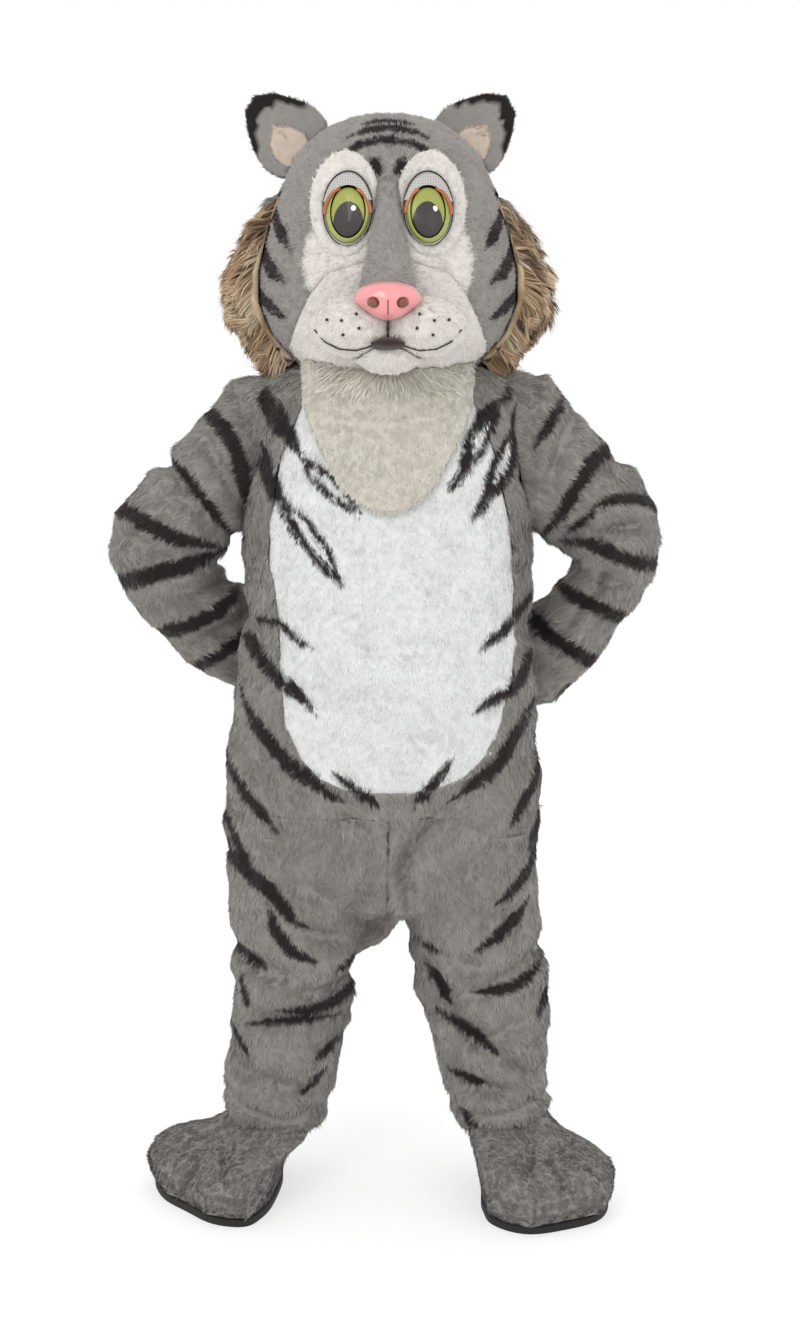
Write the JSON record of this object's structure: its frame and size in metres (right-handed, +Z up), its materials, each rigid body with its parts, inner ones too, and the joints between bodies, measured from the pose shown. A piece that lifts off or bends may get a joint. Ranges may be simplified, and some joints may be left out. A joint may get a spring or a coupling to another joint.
{
  "type": "tiger mascot costume",
  "caption": "Whole-body plush tiger suit, worn hollow and standing, with a big hollow head, set-in bent sleeves, mitts, foot covers, neck drape and stuffed tail.",
  "frame": {"origin": "between the wearer's shoulders, 1.40 m above the soles, where the suit hangs from the body", "axes": "+Z up, the costume faces -Y, and its left in the front view is -X"},
  "size_m": [0.9605, 0.6731, 1.8696],
  "materials": {
    "grey_plush": "long-pile grey plush with black-brown tiger stripes",
    "short_grey_plush": "short-pile grey plush over foam, with black-brown stripes",
    "white_plush": "white plush",
    "cream_plush": "cream plush, long pile",
    "tan_fur": "long tan and brown fur",
    "zip_tape": "closed concealed zip",
    "eyelid_cloth": "thin grey cloth",
    "dark_felt": "dark felt",
    "pupil_mesh": "black see-through mesh",
    "nose_vinyl": "glossy pink vinyl",
    "nostril_vinyl": "dark brown vinyl",
    "eye_rim_plastic": "glossy, orange-brown rim fading to white",
    "iris_plastic": "glossy green",
    "sole_rubber": "flat black rubber"
  },
  "bodies": {
    "root": {"belly_panel": "white_plush", "front_left": "grey_plush", "front_right": "grey_plush", "back_left": "grey_plush", "back_right": "grey_plush", "back_zip": "zip_tape", "sleeve_left": "grey_plush", "sleeve_right": "grey_plush", "leg_front_left": "grey_plush", "leg_front_right": "grey_plush", "leg_back_left": "grey_plush", "leg_back_right": "grey_plush", "tail": "grey_plush", "paw_left": "grey_plush", "paw_right": "grey_plush", "foot_left": "grey_plush", "foot_right": "grey_plush", "sole_left": "sole_rubber", "sole_right": "sole_rubber", "head_shell": "short_grey_plush", "eye_patch_left": "white_plush", "eye_patch_right": "white_plush", "lower_face": "white_plush", "muzzle_left": "white_plush", "muzzle_right": "white_plush", "chin": "white_plush", "mouth": "dark_felt", "nose_bridge": "short_grey_plush", "nose": "nose_vinyl", "nostril_left": "nostril_vinyl", "nostril_right": "nostril_vinyl", "eye_white_left": "eye_rim_plastic", "eye_white_right": "eye_rim_plastic", "iris_left": "iris_plastic", "iris_right": "iris_plastic", "pupil_left": "pupil_mesh", "pupil_right": "pupil_mesh", "eyelid_left": "eyelid_cloth", "eyelid_right": "eyelid_cloth", "ear_left": "short_grey_plush", "ear_right": "short_grey_plush", "ear_lining_left": "cream_plush", "ear_lining_right": "cream_plush", "mane_left": "tan_fur", "mane_right": "tan_fur", "bib": "cream_plush", "nape_drape": "grey_plush"}
  },
  "joints": []
}
